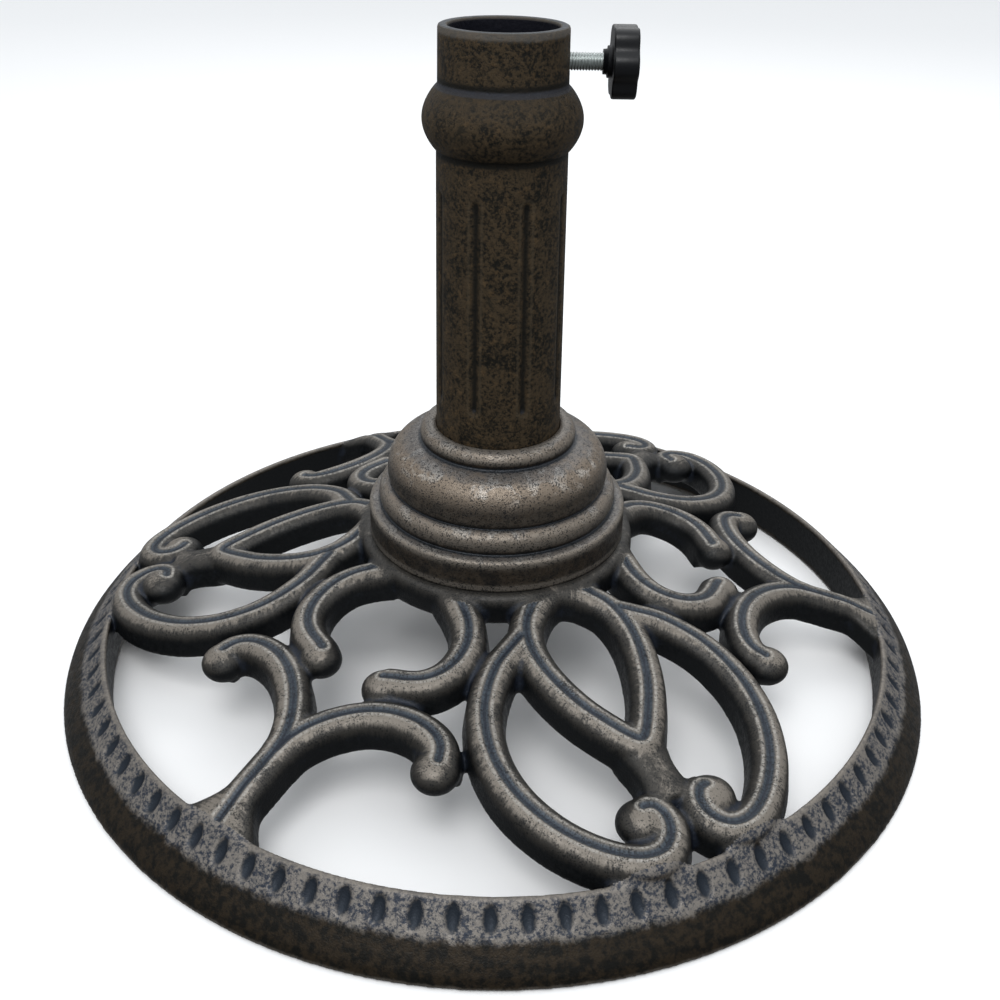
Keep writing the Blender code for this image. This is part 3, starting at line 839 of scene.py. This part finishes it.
def build_bell():
    base = BELL_BOX[0][2]
    outer = [(31.2, 58.2), (33.5, 59.0), (36.8, 58.0), (38.8, 55.2), (38.9, 52.8), (38.3, 50.9),
             (40.3, 50.4), (43.5, 49.9), (48.3, 48.1), (52.4, 44.4), (55.0, 39.2), (55.9, 33.8),
             (55.4, 29.8), (54.1, 27.5), (56.4, 27.2), (59.2, 25.2), (60.6, 21.6), (60.3, 18.4),
             (59.4, 16.5), (61.6, 16.3), (63.8, 16.2), (65.2, 15.7), (65.9, 14.5), (66.0, 13.0),
             (66.0, 0.0)]
    inner = [(61.0, 0.0), (61.0, 10.0), (53.5, 13.0), (48.5, 38.0), (31.2, 45.0)]
    outline = moulded(outer, [0, 5, 13, 18, 23, 24]) + [(r * MM, z * MM) for r, z in inner]
    mesh = turned_mesh([(r, z + base) for r, z in outline], 180)
    attribute(mesh, "relief", relief(mesh, 8) * 1.3)
    piece = link("bell_casting", mesh)
    mesh.materials.append(bell_bronze())
    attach(piece, "base")
    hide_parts("bell_cover")


def column_radius(z):
    """Outer radius of the column at heights in metres."""
    heights = np.array([74.0, 140.0, 266.0, 293.5, 316.0]) * MM
    radii = np.array([30.8, 30.8, 29.3, 28.4, 28.0]) * MM
    plain = np.interp(z, heights, radii)
    turn = np.clip((z - COLLAR_Z) / COLLAR_HALF, -1, 1)
    swell = np.cos(turn * math.pi / 2) ** 0.8 * (COLLAR_R - COLLAR_ROOT_R)
    return plain + swell


def build_column():
    """Fluted tube with a swollen collar; its skin is a ring of points for each height."""
    bottom, top = COLUMN_BOX[0][2], COLUMN_BOX[1][2]
    floor = bottom + COLUMN_FLOOR
    heights = np.concatenate([np.linspace(bottom, 133 * MM, 8, endpoint=False),
                              np.linspace(133 * MM, COLLAR_Z - COLLAR_HALF, 90, endpoint=False),
                              np.linspace(COLLAR_Z - COLLAR_HALF, COLLAR_Z + COLLAR_HALF, 40,
                                          endpoint=False),
                              np.linspace(COLLAR_Z + COLLAR_HALF, top - 1.2 * MM, 12)])
    profile = [(BOLT_HOLE_R, bottom)]
    profile += [(float(column_radius(z)), float(z)) for z in heights]
    edge = float(column_radius(top))
    profile += [(edge - 0.3 * MM, top - 0.35 * MM), (edge - 1.0 * MM, top), (BORE_R + 0.9 * MM, top),
                (BORE_R + 0.2 * MM, top - 0.4 * MM)]
    profile += [(BORE_R, float(z)) for z in np.linspace(top - 1.4 * MM, floor, 24)]
    profile += [(BOLT_HOLE_R, floor)]
    mesh = turned_mesh(profile, 256)
    points = vertices(mesh)
    radius = np.hypot(points[:, 0], points[:, 1])
    outside = radius > BORE_R + 2 * MM
    angle = np.arctan2(points[:, 1], points[:, 0])
    pitch = math.tau / FLUTES
    beside = (np.mod(angle, pitch) - pitch / 2) * radius
    length = (ramp(points[:, 2], FLUTE_BOTTOM, FLUTE_BOTTOM + 4 * MM)
              * (1 - ramp(points[:, 2], FLUTE_TOP - 4 * MM, FLUTE_TOP)))
    cut = FLUTE_DEPTH * np.exp(-(beside / FLUTE_HALF) ** 2) * length * outside
    points[:, :2] *= ((radius - cut) / radius)[:, None]
    set_vertices(mesh, points)
    attribute(mesh, "relief", relief(mesh, 3) * 2.5)
    attribute(mesh, "flute", cut / FLUTE_DEPTH)
    attribute(mesh, "inside", (~outside & (points[:, 2] > floor - 1 * MM)
                               & (points[:, 2] < top - 0.6 * MM)).astype(float))
    column = link("column_casting", mesh)
    drill = link("drill", cylinder_x(STUD_HOLE_R, 0.0, 60 * MM, 32))
    cut = column.modifiers.new("stud_hole", "BOOLEAN")
    cut.object = drill
    cut.operation = "DIFFERENCE"
    piece = link("column_casting", smooth(evaluated(column)))
    discard(drill)
    piece.data.materials.clear()
    piece.data.materials.append(column_bronze())
    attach(piece, "base")
    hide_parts("column")


# Clamp screw -------------------------------------------------------------------------------

def cylinder_x(radius, start, end, sides):
    bm = bmesh.new()
    at = (Matrix.Translation(((start + end) / 2, 0.0, CLAMP_Z)) @ Matrix.Rotation(math.pi / 2, 4, "Y"))
    bmesh.ops.create_cone(bm, cap_ends=True, segments=sides, radius1=radius, radius2=radius,
                          depth=end - start, matrix=at)
    mesh = bpy.data.meshes.new("cylinder")
    bm.to_mesh(mesh)
    bm.free()
    return mesh


def ringed_x(name, stations, sides, radius_at):
    """A skin round the clamp's axis; radius_at gives each station's radius at each angle."""
    turns = np.linspace(0, math.tau, sides, endpoint=False)
    points = []
    for index, x in enumerate(stations):
        radii = radius_at(index, x, turns)
        points += [(x, r * math.cos(t), CLAMP_Z + r * math.sin(t)) for r, t in zip(radii, turns)]
    faces = [tuple(range(sides))[::-1], tuple((len(stations) - 1) * sides + k for k in range(sides))]
    for ring in range(len(stations) - 1):
        for k in range(sides):
            nxt = (k + 1) % sides
            faces.append((ring * sides + k, ring * sides + nxt,
                          (ring + 1) * sides + nxt, (ring + 1) * sides + k))
    mesh = bpy.data.meshes.new(name)
    mesh.from_pydata(points, [], faces)
    bm = bmesh.new()
    bm.from_mesh(mesh)
    bmesh.ops.recalc_face_normals(bm, faces=bm.faces)
    bm.to_mesh(mesh)
    bm.free()
    return link(name, smooth(mesh))


def build_stud():
    """The threaded stud: a helical V thread with a chamfered tip."""
    tip, end = STUD_BOX[0][0], STUD_BOX[1][0]
    major = (STUD_BOX[1][2] - STUD_BOX[0][2]) / 2 - 0.02 * MM

    def thread(_, x, turns):
        phase = np.mod(x / THREAD_PITCH + turns / math.tau, 1.0)
        radii = major - THREAD_DEPTH * (1 - np.abs(2 * phase - 1))
        chamfer = major - 1.2 * MM + (x - tip)
        return np.minimum(radii, chamfer)

    stations = np.arange(tip, end, THREAD_PITCH / 8)
    stud = ringed_x("stud_thread", stations, 40, thread)
    stud.data.materials.append(zinc())
    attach(stud, "stud")
    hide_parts("clamp_stud")


def build_knob():
    """Lobed knob with rounded rims, a dished outer face and a stepped boss.

    The profile runs from the boss to the dished face. Each entry is the place on the axis, a size in
    mm, and how far the lobes show: 0 is round, 1 follows the lobes and the size is added to them.
    """
    inner, outer = KNOB_BOX[0][0], KNOB_BOX[1][0]
    reach = (KNOB_BOX[1][2] - KNOB_BOX[0][2]) / 2 - 0.1 * MM
    back = outer - KNOB_THICK
    profile = [(inner, 4.2, 0), (inner, 5.1, 0), (inner + 1.7 * MM, 5.2, 0), (inner + 1.75 * MM, 6.3, 0),
               (inner + 1.9 * MM, 6.5, 0), (back - 0.2 * MM, 6.6, 0), (back, 7.2, 0.0), (back, 9.0, 0.3)]
    for step in range(7):
        turn = math.pi / 2 * step / 6
        sunk = -KNOB_ROUND * (1 - math.sin(turn)) / MM
        profile.append((back + KNOB_ROUND * (1 - math.cos(turn)), sunk, 1))
    for step in range(7):
        turn = math.pi / 2 * step / 6
        sunk = -KNOB_ROUND * (1 - math.cos(turn)) / MM
        profile.append((outer - KNOB_ROUND * (1 - math.sin(turn)), sunk, 1))
    profile += [(outer, 9.5, 0.3), (outer - 0.1 * MM, 8.0, 0), (outer - 0.9 * MM, 7.2, 0),
                (outer - 0.9 * MM, 1.0, 0)]

    def lobed(index, _, turns):
        size, share = profile[index][1:]
        waved = reach - LOBE_DEPTH * (0.5 - 0.5 * np.cos(KNOB_LOBES * turns)) ** 1.6
        if share == 1:
            return waved + size * MM
        return np.full(len(turns), size * MM) * (1 - share) + share * (waved - 3 * MM)

    knob = ringed_x("clamp_knob_body", [p[0] for p in profile], 144, lobed)
    knob.data.materials.append(black_plastic())
    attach(knob, "knob")
    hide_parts("clamp_knob")


def paint_fixings():
    """The fixings keep their CAD shape, with softened edges and a zinc finish."""
    plate = zinc()
    for name in ("centre_bolt", "flat_washer", "spring_washer", "captive_nut"):
        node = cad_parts[name]
        node.data.materials.clear()
        node.data.materials.append(plate)
        rounding = node.modifiers.new("edges", "BEVEL")
        rounding.width = 0.3 * MM
        rounding.segments = 2


# Stage -------------------------------------------------------------------------------------

def build_floor():
    """A white floor that curves up into a wall all round."""
    outline = [(0.0, 0.0), (1.5, 0.0), (FLOOR_FLAT_R, 0.0)]
    for turn in np.linspace(0.1, 1.5, 14):
        outline.append((FLOOR_FLAT_R + FLOOR_CURVE_R * math.sin(turn),
                        FLOOR_CURVE_R * (1 - math.cos(turn))))
    outline.append((WALL_R, WALL_TOP))
    edges = [(i, i + 1) for i in range(len(outline) - 1)]
    mesh = bpy.data.meshes.new("floor")
    mesh.from_pydata([(r, 0.0, z) for r, z in outline], edges, [])
    outline_obj = link("floor_outline", mesh)
    screw = outline_obj.modifiers.new("screw", "SCREW")
    screw.steps = 96
    screw.render_steps = 96
    screw.use_merge_vertices = True
    screw.merge_threshold = 0.0001
    floor = link("floor", smooth(evaluated(outline_obj)))
    floor.location.z = -0.0005
    n = Nodes("floor_paint")
    n.shader.inputs["Base Color"].default_value = (0.86, 0.86, 0.86, 1.0)
    n.shader.inputs["Roughness"].default_value = 0.9
    floor.data.materials.clear()
    floor.data.materials.append(n.material)
    floor.visible_diffuse = False
    floor.visible_glossy = False


def build_sky():
    """A sky whose strength grows from the horizon to overhead."""
    world = bpy.data.worlds.new("studio")
    bpy.context.scene.world = world
    world.use_nodes = True
    tree = world.node_tree
    coords = tree.nodes.new("ShaderNodeTexCoord")
    part = tree.nodes.new("ShaderNodeSeparateXYZ")
    sky = tree.nodes.new("ShaderNodeMapRange")
    tree.links.new(coords.outputs["Generated"], part.inputs["Vector"])
    tree.links.new(part.outputs["Z"], sky.inputs["Value"])
    sky.inputs["From Min"].default_value = -0.05
    sky.inputs["From Max"].default_value = 1.0
    sky.inputs["To Min"].default_value = SKY_LOW
    sky.inputs["To Max"].default_value = SKY_HIGH
    background = tree.nodes["Background"]
    background.inputs["Color"].default_value = SKY_COLOUR
    tree.links.new(sky.outputs["Result"], background.inputs["Strength"])


def area_light(name, at, size, power, target=(0.0, 0.0, 0.1), colour=(1.0, 1.0, 1.0)):
    data = bpy.data.lights.new(name, "AREA")
    data.size = size
    data.energy = power
    data.color = colour
    light = bpy.data.objects.new(name, data)
    light.location = at
    light.rotation_euler = (Vector(target) - Vector(at)).to_track_quat("-Z", "Y").to_euler()
    bpy.context.scene.collection.objects.link(light)


def build_camera():
    """The photograph's viewpoint: in front, 30 degrees down, with a slight roll."""
    distance, height = 2.2088 * BASE_R, 1.6779 * BASE_R
    yaw, pitch, roll = 0.0087, 0.5285, 0.0195
    forward = Vector((math.sin(yaw) * math.cos(pitch), math.cos(yaw) * math.cos(pitch), -math.sin(pitch)))
    level = Vector((math.cos(yaw), -math.sin(yaw), 0.0))
    upright = level.cross(forward)
    right = level * math.cos(roll) + upright * math.sin(roll)
    up = upright * math.cos(roll) - level * math.sin(roll)
    data = bpy.data.cameras.new("camera")
    data.lens = 36.0 * 1.1218
    data.shift_x = -0.0054
    data.shift_y = -0.0048
    data.clip_start = 0.01
    camera = bpy.data.objects.new("camera", data)
    turn = Matrix((right, up, -forward)).transposed().to_4x4()
    camera.matrix_world = Matrix.Translation((0.0, -distance, height)) @ turn
    bpy.context.scene.collection.objects.link(camera)
    bpy.context.scene.camera = camera


build_casting()
build_bell()
build_column()
build_stud()
build_knob()
paint_fixings()
build_floor()
build_sky()
area_light("key", (-0.2, -1.0, 1.7), 0.9, 16)
area_light("back", (0.2, 1.2, 1.5), 1.2, 8)
bpy.context.scene.view_settings.view_transform = "Standard"
build_camera()
